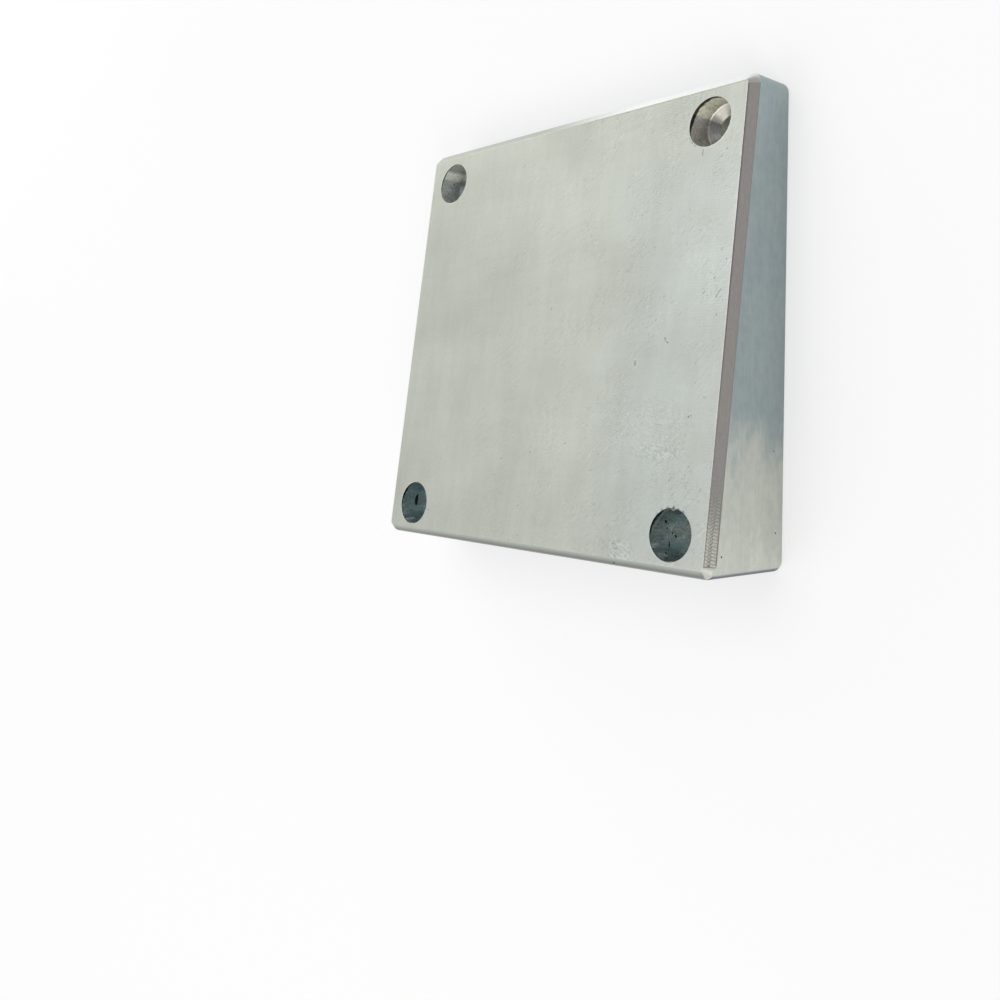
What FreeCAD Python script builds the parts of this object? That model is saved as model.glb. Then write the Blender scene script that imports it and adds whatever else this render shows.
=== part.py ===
import FreeCAD, Part
import math
import os

# A wedge-shaped mounting plate, milled from one piece of aluminium.
# It lies on its flat back. X runs across the plate, Y runs from the thick end to the thin end,
# and Z is up from the back face. The origin is the middle of the back face.
# All lengths are in millimetres and all angles in degrees.

# The plate
width = 100.0
length = 96.0
thin_end_height = 11.0
wedge_angle = 7.0

# Its edges
corner_radius = 2.5
face_chamfer = 1.7
back_edge_break = 0.3

# The four screw holes, drilled square to the back face. Their centres are this far from the sides
# and the ends, which leaves them 80 apart both ways.
hole_side_inset = 10.0
hole_thick_end_inset = 7.5
hole_thin_end_inset = 8.5
screw_hole_diameter = 5.5
counterbore_diameter = 10.0
shoulder_height = 6.2
drill_point_angle = 118.0

# A cutter runs this far past each face that it goes through
cutter_overrun = 2.0

NODE = "wedge_plate"


def sloped_height(y):
    """Height of the sloped face above the back face."""
    return thin_end_height + (length / 2 - y) * math.tan(math.radians(wedge_angle))


def wedge_block():
    """The plain wedge: its side profile, pushed across the width."""
    thick_end = -length / 2
    thin_end = length / 2
    side = -width / 2
    profile = Part.makePolygon([
        FreeCAD.Vector(side, thick_end, 0),
        FreeCAD.Vector(side, thin_end, 0),
        FreeCAD.Vector(side, thin_end, thin_end_height),
        FreeCAD.Vector(side, thick_end, sloped_height(thick_end)),
        FreeCAD.Vector(side, thick_end, 0),
    ])
    return Part.Face(profile).extrude(FreeCAD.Vector(width, 0, 0))


def is_upright(edge):
    """True for a straight edge that stands square to the back face."""
    start, end = edge.Vertexes[0].Point, edge.Vertexes[-1].Point
    return math.hypot(end.x - start.x, end.y - start.y) < 1e-6


def face_towards(solid, direction):
    """The flat face of the solid whose outward normal points most nearly that way."""
    flat_faces = [face for face in solid.Faces if isinstance(face.Surface, Part.Plane)]
    return max(flat_faces, key=lambda face: face.normalAt(0, 0).dot(direction))


def dress_edges(block):
    """Round the upright corners, chamfer all round the sloped face and break the back edge."""
    rounded = block.makeFillet(corner_radius, [edge for edge in block.Edges if is_upright(edge)])
    tilt = math.radians(wedge_angle)
    sloped_face = face_towards(rounded, FreeCAD.Vector(0, math.sin(tilt), math.cos(tilt)))
    chamfered = rounded.makeChamfer(face_chamfer, sloped_face.Edges)
    back_face = face_towards(chamfered, FreeCAD.Vector(0, 0, -1))
    return chamfered.makeChamfer(back_edge_break, back_face.Edges)


def hole_cutter():
    """A screw hole as a turned shape on the Z axis: clearance hole, drilled shoulder, counterbore."""
    hole_radius = screw_hole_diameter / 2
    bore_radius = counterbore_diameter / 2
    shoulder_drop = (bore_radius - hole_radius) / math.tan(math.radians(drill_point_angle / 2))
    top = sloped_height(-length / 2) + cutter_overrun
    half_section = Part.makePolygon([
        FreeCAD.Vector(0, 0, -cutter_overrun),
        FreeCAD.Vector(hole_radius, 0, -cutter_overrun),
        FreeCAD.Vector(hole_radius, 0, shoulder_height - shoulder_drop),
        FreeCAD.Vector(bore_radius, 0, shoulder_height),
        FreeCAD.Vector(bore_radius, 0, top),
        FreeCAD.Vector(0, 0, top),
        FreeCAD.Vector(0, 0, -cutter_overrun),
    ])
    return Part.Face(half_section).revolve(FreeCAD.Vector(0, 0, 0), FreeCAD.Vector(0, 0, 1), 360)


def hole_centres():
    """One hole near each corner, set in from the sides and from each end."""
    across = width / 2 - hole_side_inset
    thick_row = -length / 2 + hole_thick_end_inset
    thin_row = length / 2 - hole_thin_end_inset
    return [FreeCAD.Vector(x, y, 0) for x in (-across, across) for y in (thick_row, thin_row)]


def wedge_plate():
    """The finished plate."""
    cutter = hole_cutter()
    cutters = [cutter.translated(centre) for centre in hole_centres()]
    return dress_edges(wedge_block()).cut(Part.makeCompound(cutters)).Solids[0]


os.makedirs("parts", exist_ok=True)
wedge_plate().exportStep("parts/" + NODE + ".step")
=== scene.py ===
import math

import bmesh
import bpy
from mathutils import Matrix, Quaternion, Vector


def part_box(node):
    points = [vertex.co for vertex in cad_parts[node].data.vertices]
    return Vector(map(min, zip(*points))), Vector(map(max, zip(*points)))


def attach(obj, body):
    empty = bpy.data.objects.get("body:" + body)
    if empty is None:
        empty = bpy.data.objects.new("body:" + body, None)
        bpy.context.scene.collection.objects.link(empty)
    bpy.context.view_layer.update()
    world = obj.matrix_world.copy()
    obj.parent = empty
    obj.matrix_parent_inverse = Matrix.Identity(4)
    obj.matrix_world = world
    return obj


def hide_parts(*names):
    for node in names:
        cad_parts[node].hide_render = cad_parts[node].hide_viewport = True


# A wedge-shaped mounting plate of bare milled aluminium, lying on its back on a pale floor.
# X runs across it, Y from its thick end to its thin end, Z up from its back. Lengths are in metres.

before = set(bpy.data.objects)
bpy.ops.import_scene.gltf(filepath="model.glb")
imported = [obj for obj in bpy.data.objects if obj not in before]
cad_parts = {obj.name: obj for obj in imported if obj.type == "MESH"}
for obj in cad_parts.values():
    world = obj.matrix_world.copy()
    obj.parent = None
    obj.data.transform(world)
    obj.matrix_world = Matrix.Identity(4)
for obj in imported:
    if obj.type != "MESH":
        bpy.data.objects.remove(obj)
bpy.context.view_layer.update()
MM = 0.001

# The plate, from its box in the frame
plate_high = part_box("wedge_plate")[1]
half_width = plate_high.x
half_length = plate_high.y
thin_end_height = 11.0 * MM
wedge_angle = math.radians(7.0)

# Its edges
corner_radius = 2.5 * MM
face_chamfer = 1.7 * MM
back_edge_break = 0.3 * MM
burnished_edge = 0.08 * MM
tumbled_edge = 0.5 * MM

# Its screw holes
hole_side_inset = 10.0 * MM
hole_thick_end_inset = 7.5 * MM
hole_thin_end_inset = 8.5 * MM
screw_hole_radius = 2.75 * MM
counterbore_radius = 5.0 * MM
shoulder_height = 6.2 * MM
drill_point_angle = math.radians(118.0)

# Tool chatter on the chamfer of the right side: where it starts and stops, and one bite's length.
# It runs in three lanes side by side, and the lines between them drift a little along the chamfer.
chatter_start = -45.3 * MM
chatter_end = -29.0 * MM
chatter_fade = -40.0 * MM
bite_pitch = 0.63 * MM
bite_land = 0.12 * MM
bite_depth = 0.08 * MM
least_bite_strength = 0.12
lane_lines_at_start = (0.0, 0.31, 0.50, 0.93)
lane_lines_at_end = (0.0, 0.36, 0.60, 0.90)
lane_slants = (-0.38, 0.5, -0.22)
lane_steps = (0.0, 0.5, 0.0)

# A cell between two cuts is a whole bite if its area lies between these shares of a full one's
least_bite_area = 0.7
most_bite_area = 1.2

# A soft round dent in the sloped face, drawn as painted shade in its hollow and a painted highlight round it
dent_x = 27.0 * MM
dent_y = -7.8 * MM

# Spots of the sloped face where the mill left a coarser hatching: x, y, width, length and strength.
# The third lies faintly over the second.
hatch_places = ((28.0 * MM, -44.6 * MM, 10.0 * MM, 6.2 * MM, 1.0),
                (35.0 * MM, -25.3 * MM, 20.0 * MM, 4.2 * MM, 0.8),
                (34.0 * MM, -20.0 * MM, 24.0 * MM, 15.0 * MM, 0.5))

# The curl of metal left on the rim of the right counterbore at the thick end
curl_x = 40.3 * MM
curl_y = -35.4 * MM
curl_radius = 0.42 * MM
curl_thickness = 0.16 * MM
curl_tilt = math.radians(45.0)
curl_sweep = math.radians(210.0)

# How deep a nick is, as a share of its width, and how far in from the end face the nicks on the thick
# end's chamfer lie, as a share of the chamfer
nick_depth = 1 / 3
end_nick_inset = 0.35

# How finely round shapes are divided
corner_steps = 14
hole_steps = 144
tumbled_steps = 4
burnished_steps = 2
curl_steps = 14
curl_sides = 8
nick_steps = 2

# Between two faces, a turn sharper than the first is an edge whose sharpness is taken off, and one
# sharper than the second is kept crisp in the shading
edge_turn = math.radians(20.0)
smooth_turn = math.radians(14.0)

# Two directions are the same if their dot product is over this, and a hair is too short to count
same_way = 0.9999
hair = 0.001 * MM

# A cutter runs this far past each face that it goes through
overrun = 2.0 * MM

slope = math.tan(wedge_angle)
face_normal = Vector((0, math.sin(wedge_angle), math.cos(wedge_angle)))

dent_place = (dent_x, dent_y, thin_end_height + (half_length - dent_y) * slope)

# The right chamfer: the way it faces, the way it runs, and the way across it from face to side
strip_normal = (face_normal + Vector((1, 0, 0))).normalized()
strip_run = Vector((0, math.cos(wedge_angle), -math.sin(wedge_angle)))
strip_across = strip_run.cross(strip_normal)
strip_width = face_chamfer * math.sqrt(2)


def face_height(y):
    """Height of the sloped face above the back face."""
    return thin_end_height + (half_length - y) * slope


# Editing

def choose(piece):
    """Makes a piece the only one selected, and the active one."""
    bpy.ops.object.select_all(action="DESELECT")
    piece.select_set(True)
    bpy.context.view_layer.objects.active = piece


def start_editing(piece):
    """Opens one piece in edit mode with nothing selected."""
    choose(piece)
    bpy.ops.object.mode_set(mode="EDIT")
    bpy.ops.mesh.select_all(action="DESELECT")


def stop_editing():
    bpy.ops.object.mode_set(mode="OBJECT")


def pick(kind, wanted):
    """Selects the edges or the faces of the open piece that pass a test, and says how many."""
    bpy.ops.mesh.select_mode(type=kind)
    bpy.ops.mesh.select_all(action="DESELECT")
    mesh = bmesh.from_edit_mesh(bpy.context.edit_object.data)
    mesh.normal_update()
    chosen = [part for part in (mesh.edges if kind == "EDGE" else mesh.faces) if wanted(part)]
    for part in chosen:
        part.select_set(True)
    bmesh.update_edit_mesh(bpy.context.edit_object.data)
    return len(chosen)


def give_finish(slot_number):
    """Gives the selected faces one of the piece's finishes."""
    bpy.context.object.active_material_index = slot_number
    bpy.ops.object.material_slot_assign()


def finish_all_over(piece, materials, slot_number):
    """Gives a piece the plate's list of finishes, and one of them to all of its faces."""
    for material in materials:
        piece.data.materials.append(material)
    start_editing(piece)
    bpy.ops.mesh.select_all(action="SELECT")
    give_finish(slot_number)
    stop_editing()


def apply_modifier(piece, modifier):
    choose(piece)
    bpy.ops.object.modifier_apply(modifier=modifier.name)


def apply_place(piece):
    """Puts the piece's place and size into its mesh."""
    choose(piece)
    bpy.ops.object.transform_apply(location=True, rotation=True, scale=True)


# Which part of the plate an edge or a face belongs to

def is_upright_edge(edge):
    run = edge.verts[1].co - edge.verts[0].co
    return math.hypot(run.x, run.y) < hair


def is_on_sloped_face(face):
    return face.normal.dot(face_normal) > same_way and face.calc_center_median().z > thin_end_height / 2


def is_sloped_face_rim(edge):
    return sum(is_on_sloped_face(face) for face in edge.link_faces) == 1


def is_back_rim(edge):
    return sum(face.normal.z < -same_way for face in edge.link_faces) == 1


def is_crisp(edge):
    return len(edge.link_faces) == 2 and edge.calc_face_angle() > edge_turn


def is_on_strip(face):
    return face.normal.dot(strip_normal) > same_way and face.calc_center_median().x > 0


# Finishes, by their place in the plate's list of materials
FACE, CHAMFER, SIDE, BORE, BITE, NICK = range(6)


class Finish:
    """One material, with short names for the nodes that the plate's finishes share."""

    def __init__(self, name):
        self.material = bpy.data.materials.new(name)
        self.material.use_nodes = True
        self.tree = self.material.node_tree
        self.tree.nodes.clear()
        output = self.tree.nodes.new("ShaderNodeOutputMaterial")
        self.shader = self.tree.nodes.new("ShaderNodeBsdfPrincipled")
        self.tree.links.new(self.shader.outputs["BSDF"], output.inputs["Surface"])
        self.place = self.tree.nodes.new("ShaderNodeTexCoord").outputs["Object"]

    def feed(self, socket, value):
        if isinstance(value, bpy.types.NodeSocket):
            self.tree.links.new(value, socket)
        else:
            socket.default_value = value

    def math(self, operation, *values):
        node = self.tree.nodes.new("ShaderNodeMath")
        node.operation = operation
        for socket, value in zip(node.inputs, values):
            self.feed(socket, value)
        return node.outputs["Value"]

    def times(self, first, *others):
        for value in others:
            first = self.math("MULTIPLY", first, value)
        return first

    def plus(self, first, *others):
        for value in others:
            first = self.math("ADD", first, value)
        return first

    def minus(self, first, *others):
        for value in others:
            first = self.math("SUBTRACT", first, value)
        return first

    def size_of(self, value):
        return self.math("ABSOLUTE", value)

    def vector(self, operation, *values):
        node = self.tree.nodes.new("ShaderNodeVectorMath")
        node.operation = operation
        for socket, value in zip(node.inputs, values):
            self.feed(socket, value)
        return node.outputs["Value" if operation in ("LENGTH", "DOT_PRODUCT") else "Vector"]

    def parts(self, vector):
        node = self.tree.nodes.new("ShaderNodeSeparateXYZ")
        self.feed(node.inputs[0], vector)
        return node.outputs["X"], node.outputs["Y"], node.outputs["Z"]

    def moved(self, vector, location=(0, 0, 0), turn=(0, 0, 0), scale=(1, 1, 1)):
        node = self.tree.nodes.new("ShaderNodeMapping")
        values = (("Vector", vector), ("Location", location), ("Rotation", turn), ("Scale", scale))
        for name, value in values:
            self.feed(node.inputs[name], value)
        return node.outputs["Vector"]

    def noise(self, vector, size, detail=2.0, roughness=0.5):
        """Soft noise whose blotches are about one size across."""
        node = self.tree.nodes.new("ShaderNodeTexNoise")
        self.feed(node.inputs["Vector"], vector)
        node.inputs["Scale"].default_value = 1.0 / size
        node.inputs["Detail"].default_value = detail
        node.inputs["Roughness"].default_value = roughness
        return node.outputs["Fac"]

    def ramp(self, value, low, high, out_low=0.0, out_high=1.0):
        """Runs smoothly from one level to another as the value goes from low to high."""
        node = self.tree.nodes.new("ShaderNodeMapRange")
        node.interpolation_type = "SMOOTHSTEP"
        for name, level in (("Value", value), ("From Min", low), ("From Max", high),
                            ("To Min", out_low), ("To Max", out_high)):
            self.feed(node.inputs[name], level)
        return node.outputs["Result"]

    def mix(self, amount, first, second):
        """Blends two colours, or two levels."""
        node = self.tree.nodes.new("ShaderNodeMix")
        node.data_type = "RGBA"
        self.feed(node.inputs[0], amount)
        self.feed(node.inputs[6], first)
        self.feed(node.inputs[7], second)
        return node.outputs[2]

    def shaded(self, colour, amount):
        """Makes a colour lighter or darker by a factor."""
        node = self.tree.nodes.new("ShaderNodeVectorMath")
        node.operation = "SCALE"
        self.feed(node.inputs[0], colour)
        self.feed(node.inputs["Scale"], amount)
        return node.outputs["Vector"]

    def bump(self, height, depth):
        node = self.tree.nodes.new("ShaderNodeBump")
        node.inputs["Strength"].default_value = 1.0
        node.inputs["Distance"].default_value = depth
        self.feed(node.inputs["Height"], height)
        return node.outputs["Normal"]

    def waves(self, kind, vector, pitch, wobble):
        """Fine waves, one every pitch: RINGS are arcs round the Z axis, and BANDS lie across it."""
        node = self.tree.nodes.new("ShaderNodeTexWave")
        node.wave_type = kind
        node.rings_direction = "Z"
        node.bands_direction = "Z"
        self.feed(node.inputs["Vector"], vector)
        node.inputs["Scale"].default_value = math.tau / 20 / pitch
        node.inputs["Distortion"].default_value = wobble
        return node.outputs["Fac"]

    def done(self, colour, roughness, normal=None, metallic=1.0):
        self.feed(self.shader.inputs["Base Color"], colour)
        self.feed(self.shader.inputs["Roughness"], roughness)
        self.feed(self.shader.inputs["Metallic"], metallic)
        if normal is not None:
            self.feed(self.shader.inputs["Normal"], normal)
        return self.material


def depth_below_face(finish):
    """How far a point lies below the sloped face."""
    level = finish.vector("DOT_PRODUCT", finish.place, tuple(face_normal))
    return finish.minus(face_height(0) * math.cos(wedge_angle), level)


def milled_face():
    """The sloped face: pale and fine, with faint crossing arcs from the face mill and small strokes."""
    finish = Finish("milled_face")
    across, along = finish.parts(finish.place)[:2]

    # The tint is cooler to the right, with a painted highlight in a thin warm line along the chamfer
    mottle = finish.noise(finish.place, 20 * MM, detail=4.0, roughness=0.6)
    drift = finish.plus(finish.ramp(across, 7 * MM, 30 * MM, 0, 0.74),
                        finish.ramp(mottle, 0.35, 0.65, 0, 0.3))
    drift = finish.times(drift, finish.ramp(along, 28 * MM, 40 * MM, 1, 0.3))
    tint = finish.mix(drift, (0.742, 0.770, 0.680, 1), (0.722, 0.770, 0.720, 1))
    edge = half_width - face_chamfer
    edge_highlight = finish.times(finish.ramp(across, edge - 0.25 * MM, edge - 0.12 * MM),
                         finish.ramp(along, -25 * MM, 10 * MM, 0.3, 1))
    tint = finish.mix(edge_highlight, tint, (0.86, 0.81, 0.79, 1))

    # Fine grain, with soft streaks both ways
    grain = finish.noise(finish.place, 0.2 * MM, detail=3.0, roughness=0.75)
    brushed = finish.moved(finish.place, scale=(1, 0.12, 1))
    brushed = finish.noise(brushed, 2.2 * MM, detail=4.0, roughness=0.65)
    crossed = finish.moved(finish.place, scale=(0.15, 1, 1))
    crossed = finish.noise(crossed, 3 * MM, detail=3.0, roughness=0.6)
    level = finish.plus(finish.ramp(grain, 0.25, 0.75, 0.955, 1.04),
                        finish.ramp(brushed, 0.3, 0.7, -0.022, 0.022),
                        finish.ramp(crossed, 0.3, 0.7, -0.013, 0.013))

    # The face mill's arcs, which cross each other, plainer in some places than in others
    arcs = finish.moved(finish.place, location=(30 * MM, 70 * MM, 0))
    crossing = finish.moved(finish.place, location=(-45 * MM, -90 * MM, 0))
    cut = finish.times(finish.waves("RINGS", arcs, 0.5 * MM, 1.5),
                       finish.waves("RINGS", crossing, 0.6 * MM, 1.5))
    worked = finish.ramp(finish.noise(finish.place, 13 * MM, detail=2.0), 0.42, 0.62)
    level = finish.plus(level, finish.times(worked, finish.ramp(cut, 0, 1, -0.03, 0.045)))

    # Strokes, pits and scrapes from handling, more of them towards the right side
    handled = finish.ramp(finish.noise(finish.place, 7 * MM, detail=2.0), 0.4, 0.6, 0.25, 1)
    handled = finish.times(handled, finish.ramp(across, -45 * MM, 35 * MM, 0.45, 1.3))
    turned = finish.moved(finish.place, turn=(0, 0, math.radians(-42)))
    strokes = finish.noise(finish.moved(turned, scale=(0.6, 1.7, 1)), 0.55 * MM, detail=1.0)
    pits = finish.noise(finish.place, 0.45 * MM, detail=0.0)
    # The scrapes are painted light and shade side by side, as if raised
    scrape = finish.moved(turned, scale=(0.5, 1, 1))
    beside = finish.moved(scrape, location=(0, 0.25 * MM, 0))
    scrape_light_and_shade = finish.minus(finish.noise(scrape, 0.8 * MM, detail=1.0),
                          finish.noise(beside, 0.8 * MM, detail=1.0))
    marks = finish.plus(finish.ramp(scrape_light_and_shade, -0.25, 0.25, -0.03, 0.03),
                        finish.ramp(strokes, 0.37, 0.30, 0, 0.075))
    marks = finish.minus(marks, finish.ramp(strokes, 0.63, 0.71, 0, 0.11),
                         finish.ramp(pits, 0.73, 0.8, 0, 0.12))
    level = finish.plus(level, finish.times(handled, marks))

    # Painted shade: darker at the thick end, right of the middle, and at the thin end
    thick_end_shade = finish.times(finish.ramp(along, -46 * MM, -14 * MM, 0.12, 0),
                             finish.ramp(across, -45 * MM, 0, 0.65, 1))
    right_side_shade = finish.times(finish.ramp(across, 3 * MM, 38 * MM, -0.03, 0.065),
                              finish.ramp(along, 14 * MM, -7 * MM))
    thin_end = finish.ramp(along, 26 * MM, 40 * MM, 0, 0.04)
    # A painted shadow line along the thin end's edge
    thin_end_shadow_line = finish.times(finish.ramp(across, -15 * MM, 20 * MM, 0, 0.14),
                            finish.ramp(along, 45.8 * MM, 46.1 * MM))
    level = finish.minus(level, thick_end_shade, right_side_shade, thin_end, thin_end_shadow_line)

    # The dent: painted shade in its hollow, and a painted highlight on the ring round it
    from_dent = finish.vector("SUBTRACT", finish.place, dent_place)
    from_dent = finish.vector("LENGTH", finish.vector("MULTIPLY", from_dent, (1.3, 0.75, 1)))
    dent_ring_highlight = finish.times(finish.ramp(from_dent, 0.45 * MM, 0.7 * MM, 0, 0.08),
                             finish.ramp(from_dent, 0.7 * MM, 1.0 * MM, 1, 0))
    level = finish.minus(level, finish.ramp(from_dent, 0.2 * MM, 0.65 * MM, 0.3, 0))
    level = finish.plus(level, dent_ring_highlight)

    # The spots of coarser hatching
    turned = finish.moved(finish.place, turn=(0, 0, math.radians(33)))
    hatching = finish.noise(finish.moved(turned, scale=(0.3, 1, 1)), 0.27 * MM, detail=0.0)
    hatching = finish.ramp(hatching, 0.36, 0.64, -0.085, 0.09)
    for hatch_x, hatch_y, hatch_wide, hatch_long, hatch_strength in hatch_places:
        apart = finish.vector("SUBTRACT", finish.place, (hatch_x, hatch_y, 0))
        apart = finish.vector("MULTIPLY", apart, (2 / hatch_wide, 2 / hatch_long, 0))
        inside = finish.ramp(finish.vector("LENGTH", apart), 1, 0.5, 0, hatch_strength)
        level = finish.plus(level, finish.times(inside, hatching))

    roughness = finish.ramp(mottle, 0.3, 0.7, 0.36, 0.43)
    relief = finish.bump(finish.times(cut, worked), 0.003 * MM)
    return finish.done(finish.shaded(tint, level), roughness, relief)


def milled_chamfer():
    """The chamfers: brown and crisp along the sides, scorched where the tool chattered, and grey at
    the two ends, which were tumbled. Painted shade lines their edges and the thick end's lower part,
    and a painted reflection brightens the thin end towards the right."""
    finish = Finish("milled_chamfer")
    across, along = finish.parts(finish.place)[:2]
    drop = depth_below_face(finish)
    grain = finish.moved(finish.place, scale=(1, 0.25, 1))
    grain = finish.noise(grain, 0.4 * MM, detail=3.0, roughness=0.6)
    blotches = finish.ramp(finish.noise(finish.place, 5 * MM, detail=2.0), 0.4, 0.6)

    # Along the sides: greener in the chatter, with painted shadow lines at the face's edge and the side's
    brown = finish.mix(blotches, (0.735, 0.70, 0.655, 1), (0.725, 0.69, 0.675, 1))
    chattered = finish.ramp(along, chatter_fade, chatter_end, 0.8, 0)
    brown = finish.mix(chattered, brown, (0.70, 0.705, 0.63, 1))
    edge_shade_level = finish.ramp(along, -25 * MM, 5 * MM, 0.86, 0.62)
    lined = finish.times(finish.ramp(along, chatter_fade, chatter_end, 0.9, 1),
                         finish.ramp(drop, 0.12 * MM, 0.3 * MM, edge_shade_level, 1),
                         finish.ramp(drop, 1.5 * MM, 1.65 * MM, 1, 0.9))
    brown = finish.shaded(brown, lined)

    # Across the thick end: grey, with painted shade below and painted light towards the left
    grey = finish.mix(blotches, (0.77, 0.825, 0.75, 1), (0.775, 0.815, 0.74, 1))
    thick_end_shade_fall = finish.times(finish.ramp(drop, -0.1 * MM, 1.35 * MM, 0.82, 0.36),
                        finish.ramp(across, -46 * MM, -18 * MM, 1.12, 1))
    # Across the thin end: a painted reflection, bright towards the right
    bright = finish.ramp(across, -12 * MM, 24 * MM)
    bright = finish.mix(bright, (0.39, 0.405, 0.355, 1), (0.86, 0.87, 0.85, 1))
    grey = finish.mix(finish.ramp(along, -40 * MM, 40 * MM), finish.shaded(grey, thick_end_shade_fall), bright)

    # The ends start where the corners do, and the two corners at the thick end are dull
    straight = half_length - corner_radius
    end = finish.ramp(finish.size_of(along), straight - 0.1 * MM, straight + 0.2 * MM)
    corner = finish.ramp(finish.size_of(across), half_width - corner_radius, half_width - face_chamfer)
    corner = finish.times(corner, end, finish.ramp(along, 0, -1 * MM))
    grey = finish.mix(corner, grey, (0.62, 0.625, 0.56, 1))
    tint = finish.mix(end, brown, grey)

    level = finish.ramp(grain, 0.3, 0.7, 0.95, 1.03)
    roughness = finish.plus(finish.ramp(end, 0, 1, 0.22, 0.33), finish.times(corner, 0.15))
    return finish.done(finish.shaded(tint, level), roughness, metallic=finish.ramp(corner, 0, 1, 1, 0.25))


def milled_side():
    """The sides and the back: fine lines along the cut, and a painted reflection, lighter near the thick
    end.
    """
    finish = Finish("milled_side")
    along = finish.parts(finish.place)[1]
    streaks = finish.moved(finish.place, scale=(1, 0.12, 1))
    streaks = finish.noise(streaks, 0.7 * MM, detail=4.0, roughness=0.7)
    stripes = finish.moved(finish.place, scale=(1, 0.04, 1))
    stripes = finish.noise(stripes, 1.6 * MM, detail=3.0, roughness=0.6)
    patches = finish.moved(finish.place, scale=(1, 0.45, 1))
    patches = finish.noise(patches, 6 * MM, detail=4.0, roughness=0.6)
    specks = finish.noise(finish.moved(finish.place, scale=(1, 0.5, 1)), 0.5 * MM, detail=1.0)
    blotches = finish.noise(finish.place, 1.8 * MM, detail=4.0, roughness=0.65)

    # Painted reflection: dark blue on most of the side, light near the thick end; painted shade round that
    # end
    patchy = finish.ramp(patches, 0.4, 0.6)
    shaded_reflection_tint = finish.mix(patchy, (0.335, 0.40, 0.415, 1), (0.36, 0.42, 0.425, 1))
    lit_reflection_tint = finish.mix(patchy, (0.56, 0.585, 0.53, 1), (0.60, 0.62, 0.56, 1))
    uneven = finish.plus(along, finish.ramp(patches, 0.3, 0.7, -6 * MM, 6 * MM))
    tint = finish.mix(finish.ramp(uneven, -31 * MM, -16 * MM), lit_reflection_tint, shaded_reflection_tint)
    tint = finish.mix(finish.ramp(along, -46.8 * MM, -47.5 * MM), tint, (0.10, 0.11, 0.14, 1))

    # Painted light and shade as well: darker in the middle of the length than at the two ends
    level = finish.times(finish.ramp(streaks, 0.3, 0.7, 0.955, 1.04),
                         finish.ramp(stripes, 0.3, 0.7, 0.99, 1.01),
                         finish.ramp(blotches, 0.35, 0.65, 0.965, 1.03),
                         finish.ramp(specks, 0.68, 0.76, 1, 0.9),
                         finish.ramp(along, 28 * MM, 46 * MM, 1, 1.08),
                         finish.ramp(along, -44 * MM, -30 * MM, 1, 0.93))
    return finish.done(finish.shaded(tint, level), 0.38)


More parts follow.
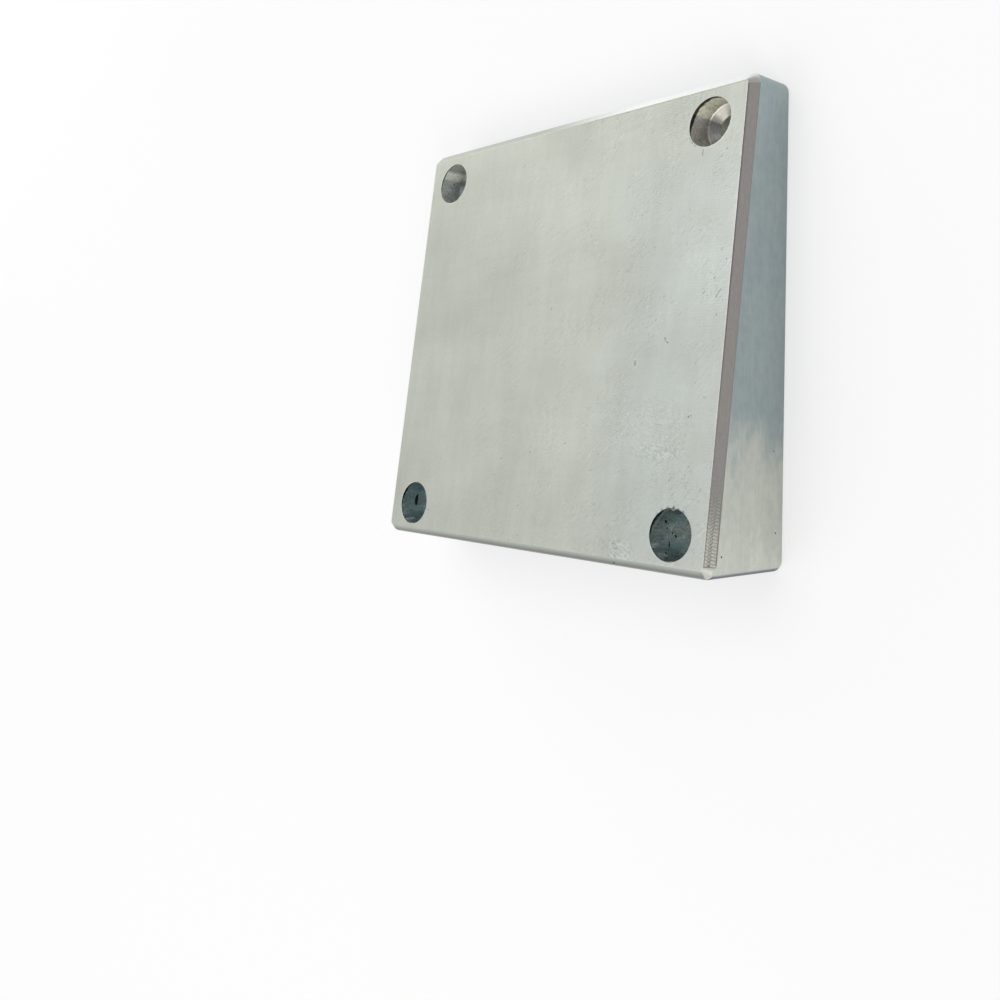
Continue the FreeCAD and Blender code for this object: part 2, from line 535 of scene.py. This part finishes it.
def turned_bore():
    """The walls of the counterbores and screw holes, with rings left by the drill, a painted shadow
    under the rim and a painted glint below it. The shallow pair has painted light on the wall that faces
    the thick end, and painted shade on the rest."""
    finish = Finish("turned_bore")
    across, along, height = finish.parts(finish.place)
    drop = depth_below_face(finish)

    # Which way the wall faces, and which hole it is in
    normal = finish.tree.nodes.new("ShaderNodeNewGeometry").outputs["Normal"]
    level_normal = finish.vector("NORMALIZE", finish.vector("MULTIPLY", normal, (1, 1, 0)))
    sideways, facing = finish.parts(level_normal)[:2]
    upward = finish.parts(normal)[2]
    shoulder_part = finish.ramp(upward, 0.4, 0.6)
    right = finish.ramp(across, -1 * MM, 1 * MM)
    thin_end = finish.ramp(along, -1 * MM, 1 * MM)

    # The drill's rings, and the wall's grain and flecks
    rings = finish.waves("BANDS", finish.place, 0.33 * MM, 1.2)
    grain = finish.moved(finish.place, scale=(1, 1, 2))
    grain = finish.noise(grain, 0.5 * MM, detail=3.0, roughness=0.7)
    tall = finish.moved(finish.place, scale=(1, 1, 0.3))
    ticks = finish.noise(tall, 0.3 * MM, detail=1.0)
    patches = finish.noise(tall, 0.9 * MM, detail=6.0, roughness=0.75)
    flecks = finish.moved(finish.place, scale=(1, 1, 0.35))
    flecks = finish.noise(flecks, 1.2 * MM, detail=4.0, roughness=0.7)
    level = finish.times(finish.ramp(rings, 0, 1, 0.86, 1.08),
                         finish.ramp(grain, 0.3, 0.7, 0.76, 1.2),
                         finish.ramp(ticks, 0.62, 0.70, 1, 0.65),
                         finish.ramp(patches, 0.42, 0.6, 0.92, 1.08))
    level = finish.plus(level, finish.ramp(flecks, 0.54, 0.66, 0, 0.4))

    # Dull strokes below the rim, on the wall towards the camera's side
    near_wall = finish.vector("DOT_PRODUCT", level_normal, (0.5, 0.866, 0))
    chipped = finish.times(finish.ramp(near_wall, 0.7, 0.9), finish.ramp(flecks, 0.47, 0.53),
                           finish.ramp(drop, 0.3 * MM, 0.8 * MM), finish.ramp(drop, 3.6 * MM, 2.6 * MM))

    # The shallow pair at the thin end, with painted light on one side and painted shade on the other
    painted_light_side = finish.ramp(finish.plus(facing, finish.ramp(right, 0, 1, -0.08, 0)), -0.44, -0.52)
    wall = finish.mix(painted_light_side, (0.74, 0.71, 0.695, 1), (1.0, 1.0, 0.81, 1))
    wall = finish.mix(right, finish.mix(painted_light_side, (0.55, 0.59, 0.57, 1), (0.93, 0.96, 0.85, 1)), wall)
    shoulder = finish.mix(painted_light_side, (0.25, 0.24, 0.23, 1), (0.53, 0.505, 0.445, 1))
    left_shoulder = finish.mix(painted_light_side, (0.12, 0.135, 0.13, 1), (0.15, 0.16, 0.145, 1))
    shoulder = finish.mix(right, left_shoulder, shoulder)
    shallow = finish.mix(shoulder_part, wall, shoulder)
    shoulder_drop = (counterbore_radius - screw_hole_radius) / math.tan(drill_point_angle / 2)
    through = shoulder_height - shoulder_drop
    above_hole = finish.ramp(height, through - 0.1 * MM, through + 0.05 * MM)
    shallow = finish.mix(above_hole, (0.48, 0.52, 0.45, 1), shallow)
    # Painted shade on the wall that faces the thick end most squarely
    shade = finish.times(finish.ramp(facing, -0.68, -0.86), finish.ramp(right, 0, 1, 0.58, 0.22), thin_end)
    level = finish.times(level, finish.minus(1, shade))
    level = finish.mix(finish.times(shoulder_part, 0.6), level, (1, 1, 1, 1))

    # The deep pair at the thick end, blue with warm patches
    warm = finish.times(finish.ramp(patches, 0.42, 0.58), finish.ramp(right, 0, 1, 0.45, 0.7))
    warm = finish.plus(warm, finish.ramp(finish.size_of(facing), 0.7, 0.35, 0, 0.28))
    deep = finish.mix(warm, (0.56, 0.68, 0.72, 1), (0.75, 0.79, 0.72, 1))
    deep = finish.shaded(deep, finish.ramp(right, 0, 1, 1.16, 1))
    # Painted shade: in the deep pair, the walls that face across the plate are darker
    deep_wall_shade = finish.ramp(finish.size_of(facing), 0.1, 0.8, 0.8, 0.95)

    # A painted shadow line under the rim of the far wall, uneven in width, with a painted glint below it
    far_wall = finish.vector("DOT_PRODUCT", level_normal, (0.4, -0.92, 0))
    far_wall = finish.plus(far_wall, finish.times(sideways, 0.16, thin_end))
    uneven = finish.ramp(finish.noise(finish.place, 1.5 * MM, detail=2.0), 0.3, 0.7, 0.8, 1.2)
    rim_shadow_width = finish.times(uneven, finish.ramp(far_wall, 0.0, 0.9, 0.14 * MM, 1.0 * MM),
                        finish.ramp(right, 0, 1, finish.ramp(thin_end, 0, 1, 0.8, 0.35), 1),
                        finish.ramp(thin_end, 0, 1, 0.75, 1))
    below = finish.math("DIVIDE", drop, rim_shadow_width)
    level = finish.times(level, finish.ramp(below, 0.85, 1.15, 0.05, 1))
    glint = finish.times(finish.ramp(below, 1.3, 1.8), finish.ramp(below, 2.1, 3.0, 1, 0),
                         finish.ramp(far_wall, 0.3, 0.6), right, finish.ramp(along, 1 * MM, -1 * MM))
    level = finish.plus(level, finish.times(glint, 0.8))

    # A painted highlight line where the wall of a right counterbore meets its shoulder
    corner_highlight = finish.ramp(finish.size_of(finish.minus(height, shoulder_height)),
                              0.05 * MM, 0.2 * MM, 0.45, 0)
    level = finish.times(level, finish.plus(finish.times(corner_highlight, right), 1))
    level = finish.times(level, finish.mix(thin_end, deep_wall_shade, (1, 1, 1, 1)))

    # What is dull rather than bright metal
    dulled = finish.math("MAXIMUM", finish.ramp(facing, -0.42, -0.54, 0.5, 1), finish.ramp(right, 1, 0))
    dulled = finish.times(dulled, thin_end, finish.ramp(upward, 0.6, 0.4))
    dulled = finish.math("MAXIMUM", dulled, chipped)

    tint = finish.mix(thin_end, deep, shallow)
    tint = finish.mix(chipped, tint, (0.42, 0.44, 0.46, 1))
    roughness = finish.plus(finish.ramp(along, -1 * MM, 1 * MM, 0.4, 0.3), finish.times(dulled, 0.2))
    grooves = finish.times(rings, finish.minus(1, shoulder_part))
    return finish.done(finish.shaded(tint, level), roughness, finish.bump(grooves, 0.003 * MM),
                       metallic=finish.ramp(dulled, 0, 1, 1, 0.05))


def bite_floor():
    """The bright bottoms of the chatter marks."""
    finish = Finish("bite_floor")
    along = finish.parts(finish.place)[1]
    grain = finish.noise(finish.place, 0.3 * MM, detail=2.0)
    level = finish.times(finish.ramp(grain, 0.3, 0.7, 0.9, 1.05),
                         finish.ramp(along, chatter_start, chatter_end, 0.63, 0.41))
    return finish.done(finish.shaded((0.84, 0.82, 0.74), level), 0.4, metallic=0.3)


def nick_floor():
    """The nicks and pits: grey, darkening to near black from 0.6 to 1 mm below the face."""
    finish = Finish("nick_floor")
    grain = finish.noise(finish.place, 0.2 * MM, detail=2.0)
    deep = finish.ramp(depth_below_face(finish), 0.6 * MM, 1 * MM)
    tint = finish.mix(deep, (0.42, 0.44, 0.42, 1), (0.04, 0.04, 0.04, 1))
    return finish.done(finish.shaded(tint, finish.ramp(grain, 0.3, 0.7, 0.6, 1.1)), 0.5)


def finishes():
    """The plate's materials, in the order of the numbers above."""
    return [milled_face(), milled_chamfer(), milled_side(), turned_bore(), bite_floor(), nick_floor()]


# The plate

def wedge_blank(materials):
    """A block as large as the plate, cut off along the sloped face, with each side's finish."""
    height = face_height(-half_length) + overrun
    bpy.ops.object.select_all(action="DESELECT")
    bpy.ops.mesh.primitive_cube_add(size=1, location=(0, 0, height / 2),
                                    scale=(2 * half_width, 2 * half_length, height))
    blank = bpy.context.active_object
    blank.name = "milled_plate"
    apply_place(blank)
    for material in materials:
        blank.data.materials.append(material)
    start_editing(blank)
    bpy.ops.mesh.select_all(action="SELECT")
    bpy.ops.mesh.bisect(plane_co=(0, 0, face_height(0)), plane_no=face_normal,
                        use_fill=True, clear_outer=True)
    pick("FACE", is_on_sloped_face)
    give_finish(FACE)
    pick("FACE", lambda face: not is_on_sloped_face(face))
    give_finish(SIDE)
    stop_editing()
    return blank


def dress_edges(plate):
    """Rounds the upright corners, then chamfers the sloped face's rim and breaks the back's."""
    start_editing(plate)
    pick("EDGE", is_upright_edge)
    bpy.ops.mesh.bevel(offset=corner_radius, segments=corner_steps, affect="EDGES", clamp_overlap=False)
    pick("EDGE", is_sloped_face_rim)
    bpy.ops.mesh.bevel(offset=face_chamfer, segments=1, affect="EDGES", clamp_overlap=False,
                       material=CHAMFER)
    pick("EDGE", is_back_rim)
    bpy.ops.mesh.bevel(offset=back_edge_break, segments=1, affect="EDGES", clamp_overlap=False)
    stop_editing()


def hole_cutter(materials):
    """A screw hole as a solid on the Z axis: counterbore, drilled shoulder, clearance hole."""
    top = face_height(-half_length) + overrun
    shoulder_drop = (counterbore_radius - screw_hole_radius) / math.tan(drill_point_angle / 2)
    narrowing = screw_hole_radius / counterbore_radius
    bpy.ops.object.select_all(action="DESELECT")
    bpy.ops.mesh.primitive_cylinder_add(vertices=hole_steps, radius=counterbore_radius,
                                        depth=top - shoulder_height,
                                        location=(0, 0, (top + shoulder_height) / 2))
    cutter = bpy.context.active_object
    apply_place(cutter)
    start_editing(cutter)
    pick("FACE", lambda face: face.normal.z < -same_way)
    bpy.ops.mesh.extrude_region_move(TRANSFORM_OT_translate={"value": (0, 0, -shoulder_drop)})
    bpy.ops.transform.resize(value=(narrowing, narrowing, 1),
                             center_override=(0, 0, shoulder_height - shoulder_drop))
    bpy.ops.mesh.extrude_region_move(
        TRANSFORM_OT_translate={"value": (0, 0, shoulder_drop - shoulder_height - overrun)})
    bpy.ops.mesh.select_all(action="SELECT")
    bpy.ops.mesh.normals_make_consistent(inside=False)
    stop_editing()
    finish_all_over(cutter, materials, BORE)
    return cutter


def hole_centres():
    """One hole near each corner, set in from the sides and from each end."""
    across = half_width - hole_side_inset
    thick_row = -half_length + hole_thick_end_inset
    thin_row = half_length - hole_thin_end_inset
    return [(x, y) for x in (-across, across) for y in (thick_row, thin_row)]


def cut_with(plate, cutters, name):
    """Takes all the cutters out of the plate at once, and puts them away."""
    bpy.ops.object.select_all(action="DESELECT")
    for cutter in cutters:
        cutter.select_set(True)
    bpy.context.view_layer.objects.active = cutters[0]
    bpy.ops.object.join()
    cut = plate.modifiers.new(name, "BOOLEAN")
    cut.operation = "DIFFERENCE"
    cut.solver = "EXACT"
    cut.object = cutters[0]
    apply_modifier(plate, cut)
    bpy.data.objects.remove(cutters[0])


def drill(plate, materials):
    """Cuts the four screw holes, each with its own copy of one cutter."""
    pattern = hole_cutter(materials)
    cutters = []
    for x, y in hole_centres():
        cutter = pattern.copy()
        cutter.data = pattern.data.copy()
        bpy.context.collection.objects.link(cutter)
        cutter.location = (x, y, 0)
        apply_place(cutter)
        cutters.append(cutter)
    bpy.data.objects.remove(pattern)
    cut_with(plate, cutters, "screw holes")


def is_under_end_chamfer(edge):
    """The lower edge of the chamfer across the thick end, with its two corners."""
    middle = (edge.verts[0].co + edge.verts[1].co) / 2
    drop = face_height(middle.y) - middle.z
    is_low = face_chamfer / 2 < drop < 2 * face_chamfer
    return middle.y < corner_radius - half_length and is_low and is_crisp(edge)


def burnish_edges(plate):
    """Rounds the thick end under its chamfer, and takes the sharpness off every other edge."""
    start_editing(plate)
    pick("EDGE", is_under_end_chamfer)
    bpy.ops.mesh.bevel(offset=tumbled_edge, segments=tumbled_steps, affect="EDGES", clamp_overlap=False)
    pick("EDGE", is_crisp)
    bpy.ops.mesh.bevel(offset=burnished_edge, segments=burnished_steps, affect="EDGES",
                       clamp_overlap=False)
    stop_editing()


def lane_line(number, y):
    """How far across the right chamfer a line between two lanes lies, from 0 at the face to 1."""
    share = (y - chatter_start) / (chatter_end - chatter_start)
    share = min(max(share, 0), 1)
    return lane_lines_at_start[number] * (1 - share) + lane_lines_at_end[number] * share


def strip_point(y, across):
    """A point on the right chamfer."""
    edge = Vector((half_width - face_chamfer, y, face_height(y)))
    return edge + strip_across * strip_width * across


def is_in_chatter(face):
    return is_on_strip(face) and chatter_start < face.calc_center_median_weighted().y < chatter_end


def lane_of(face):
    """The lane that a face of the right chamfer lies in."""
    centre = face.calc_center_median_weighted()
    start = strip_point(centre.y, 0)
    across = (centre - start).dot(strip_across) / strip_width
    return sum(across > lane_line(number, centre.y) for number in (1, 2, 3))


def split_strip(point, direction, wanted):
    """Cuts some faces of the right chamfer along a line."""
    pick("FACE", wanted)
    across = direction.cross(strip_normal).normalized()
    bpy.ops.mesh.bisect(plane_co=point, plane_no=across, threshold=hair)


def lower_bite_end(slant, depth):
    """Pushes in the end of each selected bite that lies towards the thick end."""
    mesh = bmesh.from_edit_mesh(bpy.context.edit_object.data)
    skewed = strip_run - strip_across * slant
    chosen = []
    for face in mesh.faces:
        if face.select:
            centre = face.calc_center_median()
            chosen += [vert for vert in face.verts if (vert.co - centre).dot(skewed) < 0]
    bpy.ops.mesh.select_mode(type="VERT")
    bpy.ops.mesh.select_all(action="DESELECT")
    for vert in chosen:
        vert.select_set(True)
    bpy.ops.transform.translate(value=strip_normal * -depth)


def is_whole_bite(face, lane, low, high, area):
    """A cell of one lane between two cuts, not one that runs out at the end."""
    if not is_in_chatter(face) or lane_of(face) != lane:
        return False
    is_whole = least_bite_area < face.calc_area() / area < most_bite_area
    return is_whole and low < face.calc_center_median_weighted().y < high


def bite_strength(y):
    """How deep the chatter is along the chamfer, from 1 near the thick end to a trace."""
    return min(max((chatter_end - y) / (chatter_end - chatter_fade), least_bite_strength), 1)


def chatter(plate):
    """The rows of small bites that the tool left in the right chamfer, as wedge-shaped scoops."""
    start_editing(plate)
    for y in (chatter_start, chatter_end):
        split_strip(strip_point(y, 0.5), strip_across, is_on_strip)
    for number in (1, 2, 3):
        first = strip_point(chatter_start, lane_line(number, chatter_start))
        last = strip_point(chatter_end, lane_line(number, chatter_end))
        split_strip(first, last - first, is_in_chatter)
    rows = int((chatter_end - chatter_start) / bite_pitch)
    for lane, (slant, step) in enumerate(zip(lane_slants, lane_steps)):
        ys = [chatter_start + (row + step) * bite_pitch for row in range(rows + 1)]
        for y in ys:
            middle = (lane_line(lane, y) + lane_line(lane + 1, y)) / 2
            split_strip(strip_point(y, middle), strip_across + strip_run * slant,
                        lambda face: is_in_chatter(face) and lane_of(face) == lane)
        for low, high in zip(ys, ys[1:]):
            whole = bite_pitch * strip_width * (lane_line(lane + 1, low) - lane_line(lane, low))
            if pick("FACE", lambda face: is_whole_bite(face, lane, low, high, whole)):
                bpy.ops.mesh.inset(thickness=bite_land, depth=0, use_individual=True)
                give_finish(BITE)
                lower_bite_end(slant, bite_depth * bite_strength(low))
    stop_editing()


# Small damage. On the face: x, y, turn in degrees, length and width. In a bore: which hole, the way
# round its axis in degrees, height, turn, length and width. On the right side: y, height, turn,
# length and width. On the chamfer at the thick end: x, turn, length and width. All lengths are in
# millimetres.
face_nicks = (
    (34.2, -3.2, -62, 0.8, 0.28), (34.8, -3.9, -35, 0.8, 0.26),
    (-13.5, 39.7, 60, 0.8, 0.16), (45.9, 4.95, 58, 2.3, 0.2), (42.6, 5.4, 45, 0.9, 0.22),
    (44.8, 8.1, 50, 0.8, 0.2), (45.8, 13.5, 60, 0.8, 0.16), (47.1, 11.5, 45, 0.35, 0.24),
    (47.1, 3.6, 60, 0.5, 0.2), (46.0, 0.9, 60, 0.5, 0.2), (29.0, 15.6, 90, 0.4, 0.25),
    (42.8, -27.7, 30, 0.45, 0.22), (43.6, -28.7, 80, 0.9, 0.12),
    (38.5, -30.4, 100, 0.6, 0.14), (39.7, -33.0, 45, 0.9, 0.14), (46.1, -31.7, 55, 0.9, 0.15),
    (1.1, 4.9, 70, 0.7, 0.25), (9.8, -24.4, 45, 0.45, 0.3), (-0.6, -26.6, 20, 0.4, 0.3),
    (-9.9, -28.4, 45, 0.4, 0.28), (41.7, -18.3, 60, 0.5, 0.3), (42.3, -18.1, 60, 0.4, 0.25),
    (-33.9, -41.7, 20, 0.5, 0.3), (-2.6, -38.3, 60, 0.5, 0.2), (-4.4, -46.0, 90, 0.5, 0.25),
    (-1.7, -44.6, 30, 0.4, 0.2), (3.3, -46.0, 60, 0.35, 0.2), (39.02, 33.45, 95, 1.6, 0.2),
    (35.4, 36.85, -60, 1.0, 0.13), (36.05, 35.95, -48, 1.0, 0.13), (36.9, 35.2, -36, 0.9, 0.13),
    (42.6, -36.0, -30, 0.9, 0.45), (41.5, -35.6, -15, 0.5, 0.4), (40.3, -35.3, 0, 0.6, 0.5),
    (38.9, -35.5, 12, 0.9, 0.45), (37.5, -36.05, 30, 0.8, 0.4), (36.4, -36.9, 45, 0.7, 0.3),
)
bore_nicks = (
    ((1, -1), 157.7, 17.5, 50, 1.2, 0.4), ((1, -1), 174.2, 16.6, 0, 0.5, 0.35),
    ((1, -1), -174.5, 15.0, 20, 0.45, 0.35), ((1, -1), -166.8, 14.1, 0, 0.7, 0.5),
    ((1, -1), -150.0, 16.7, -35, 1.7, 0.34), ((1, -1), -129.6, 19.1, 10, 0.7, 0.4),
    ((1, 1), 147.6, 5.9, 0, 0.45, 0.4), ((-1, 1), 165.0, 8.0, 20, 0.5, 0.3),
    ((-1, -1), 178.0, 17.3, -8, 3.8, 0.95),
)
side_nicks = (
    (-43.65, 19.4, 40, 0.5, 0.35), (-40.2, 2.6, 70, 0.5, 0.3), (-24.5, 3.5, 20, 0.4, 0.25),
)
end_nicks = (
    (25.9, 10, 0.6, 0.4),
)


def nick_tool(place, facing, turn, long, wide, materials):
    """A small round-nosed cutter, turned about the way that the surface faces."""
    upright = Vector(facing).to_track_quat("Z", "Y")
    bpy.ops.object.select_all(action="DESELECT")
    bpy.ops.mesh.primitive_ico_sphere_add(subdivisions=nick_steps, radius=1, location=place)
    tool = bpy.context.active_object
    tool.scale = (long / 2, wide / 2, wide * nick_depth)
    tool.rotation_mode = "QUATERNION"
    tool.rotation_quaternion = upright @ Quaternion((0, 0, 1), math.radians(turn))
    apply_place(tool)
    finish_all_over(tool, materials, NICK)
    return tool


def wear(plate, materials):
    """The dents, pits and scratches of a plate that has been in use."""
    tools = []
    for x, y, turn, long, wide in face_nicks:
        place = (x * MM, y * MM, face_height(y * MM))
        tools.append(nick_tool(place, face_normal, turn, long * MM, wide * MM, materials))
    for (side, end), angle, height, turn, long, wide in bore_nicks:
        round_angle = math.radians(angle)
        out = Vector((math.cos(round_angle), math.sin(round_angle), 0))
        inset = hole_thin_end_inset if end > 0 else hole_thick_end_inset
        axis = Vector((side * (half_width - hole_side_inset), end * (half_length - inset), height * MM))
        tools.append(nick_tool(axis + out * counterbore_radius, -out, turn, long * MM, wide * MM, materials))
    for y, height, turn, long, wide in side_nicks:
        place = (half_width, y * MM, height * MM)
        tools.append(nick_tool(place, (1, 0, 0), turn, long * MM, wide * MM, materials))
    end_normal = (face_normal + Vector((0, -1, 0))).normalized()
    for x, turn, long, wide in end_nicks:
        place = (x * MM, end_nick_inset * face_chamfer - half_length,
                 face_height(-half_length) - (1 - end_nick_inset) * face_chamfer)
        tools.append(nick_tool(place, end_normal, turn, long * MM, wide * MM, materials))
    cut_with(plate, tools, "wear")


def rim_curl(plate, materials):
    """The curl of metal that the cutter left standing on the rim of one counterbore."""
    bpy.ops.object.select_all(action="DESELECT")
    bpy.ops.mesh.primitive_circle_add(vertices=curl_sides, radius=curl_thickness / 2, fill_type="NGON",
                                      location=(curl_radius, 0, 0), rotation=(math.pi / 2, 0, 0))
    curl = bpy.context.active_object
    apply_place(curl)
    start_editing(curl)
    bpy.ops.mesh.select_all(action="SELECT")
    bpy.ops.mesh.spin(steps=curl_steps, angle=curl_sweep, center=(0, 0, 0), axis=(0, 0, 1))
    bpy.ops.mesh.select_all(action="SELECT")
    bpy.ops.mesh.normals_make_consistent(inside=False)
    stop_editing()
    curl.location = (curl_x, curl_y, face_height(curl_y))
    curl.rotation_euler = (0, curl_tilt, 0)
    apply_place(curl)
    finish_all_over(curl, materials, FACE)
    choose(plate)
    curl.select_set(True)
    bpy.ops.object.join()


def is_nick_rim(edge):
    """An edge between a nick and the face that it was struck in."""
    return sum(face.material_index == NICK for face in edge.link_faces) == 1


def is_chatter_end(edge):
    """An edge across the right chamfer where the chatter starts or stops."""
    for y in (chatter_start, chatter_end):
        line = strip_point(y, 0.5)
        if all(abs((vert.co - line).dot(strip_run)) < hair for vert in edge.verts):
            return all(is_on_strip(face) for face in edge.link_faces)
    return False


def smooth_round_walls(plate):
    """Shades round walls smooth and leaves flat faces flat, also beside a shallow nick."""
    start_editing(plate)
    pick("EDGE", lambda edge: is_nick_rim(edge) or is_chatter_end(edge))
    bpy.ops.mesh.mark_sharp()
    stop_editing()
    choose(plate)
    bpy.ops.object.shade_smooth_by_angle(angle=smooth_turn, keep_sharp_edges=True)
    even = plate.modifiers.new("even shading", "WEIGHTED_NORMAL")
    even.keep_sharp = True
    apply_modifier(plate, even)


def milled_plate():
    materials = finishes()
    plate = wedge_blank(materials)
    dress_edges(plate)
    drill(plate, materials)
    burnish_edges(plate)
    chatter(plate)
    wear(plate, materials)
    rim_curl(plate, materials)
    smooth_round_walls(plate)
    return plate


plate = milled_plate()
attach(plate, "root")
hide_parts("wedge_plate")


# The floor, the light and the camera

floor_size = 6.0
floor_white = 0.96
floor_glow_seen = 0.6
floor_glow_reflected = 0.35
room_level = 0.34

# The panels of soft light, which all face the plate: name, place, width, height and brightness, where
# brightness 1 shows as white
panels = (
    ("window", (-0.95, 0.35, 0.75), 1.8, 1.3, 0.2),
    ("key", (-0.40, -0.62, 0.95), 1.1, 1.1, 1.5),
    ("ceiling", (0.0, 0.42, 1.05), 0.8, 0.8, 1.6),
    ("card", (-0.58, 0.58, 0.11), 0.7, 0.2, 5.0),
    ("lamp", (0.70, -0.70, 0.60), 0.4, 0.4, 6.0),
)

camera_place = Vector((166.7, -19.6, 176.0)) * MM
camera_aim = Vector((-34.1, -10.7, 0.0)) * MM
camera_roll = math.radians(-86.94)
camera_focal = 1049.3 / 1000
camera_shift = -0.116
sensor = 36.0
camera_near = 0.01
camera_far = 20.0


def pale_floor():
    bpy.ops.object.select_all(action="DESELECT")
    bpy.ops.mesh.primitive_plane_add(size=floor_size, location=(0, 0, 0))
    floor = bpy.context.active_object
    floor.name = "floor"
    material = bpy.data.materials.new("pale_floor")
    material.use_nodes = True
    shader = material.node_tree.nodes["Principled BSDF"]
    shader.inputs["Base Color"].default_value = (floor_white, floor_white, floor_white, 1)
    shader.inputs["Roughness"].default_value = 0.9
    shader.inputs["Specular IOR Level"].default_value = 0.0
    nodes = material.node_tree.nodes
    links = material.node_tree.links
    glow = nodes.new("ShaderNodeEmission")
    glow.inputs["Strength"].default_value = 1.0
    rays = nodes.new("ShaderNodeLightPath")
    seen = nodes.new("ShaderNodeMath")
    seen.operation = "MULTIPLY"
    seen.inputs[1].default_value = floor_glow_seen
    links.new(rays.outputs["Is Camera Ray"], seen.inputs[0])
    share = nodes.new("ShaderNodeMath")
    share.operation = "MULTIPLY_ADD"
    share.inputs[1].default_value = floor_glow_reflected
    links.new(rays.outputs["Is Glossy Ray"], share.inputs[0])
    links.new(seen.outputs["Value"], share.inputs[2])
    blend = nodes.new("ShaderNodeMixShader")
    links.new(share.outputs["Value"], blend.inputs["Fac"])
    links.new(shader.outputs["BSDF"], blend.inputs[1])
    links.new(glow.outputs["Emission"], blend.inputs[2])
    links.new(blend.outputs["Shader"], nodes["Material Output"].inputs["Surface"])
    floor.data.materials.append(material)


def soft_panel(name, place, wide, high, brightness):
    """A square-cornered panel of soft light that faces the plate."""
    data = bpy.data.lights.new(name, "AREA")
    data.shape = "RECTANGLE"
    data.size = wide
    data.size_y = high
    data.energy = brightness * math.pi * wide * high
    lamp = bpy.data.objects.new(name, data)
    lamp.location = place
    lamp.rotation_mode = "QUATERNION"
    lamp.rotation_quaternion = (-Vector(place)).to_track_quat("-Z", "Y")
    bpy.context.collection.objects.link(lamp)


def room_light():
    """The plain even light of the room."""
    world = bpy.data.worlds.new("room")
    bpy.context.scene.world = world
    world.use_nodes = True
    background = world.node_tree.nodes["Background"]
    background.inputs["Color"].default_value = (room_level, room_level, room_level, 1)
    background.inputs["Strength"].default_value = 1.0


def camera():
    data = bpy.data.cameras.new("camera")
    data.sensor_width = sensor
    data.lens = camera_focal * sensor
    data.shift_y = camera_shift
    data.clip_start = camera_near
    data.clip_end = camera_far
    eye = bpy.data.objects.new("camera", data)
    eye.location = camera_place
    eye.rotation_mode = "QUATERNION"
    level = (camera_aim - camera_place).to_track_quat("-Z", "Y")
    eye.rotation_quaternion = level @ Quaternion((0, 0, 1), camera_roll)
    bpy.context.collection.objects.link(eye)
    bpy.context.scene.camera = eye


pale_floor()
room_light()
for panel in panels:
    soft_panel(*panel)
camera()
bpy.context.scene.view_settings.view_transform = "Standard"
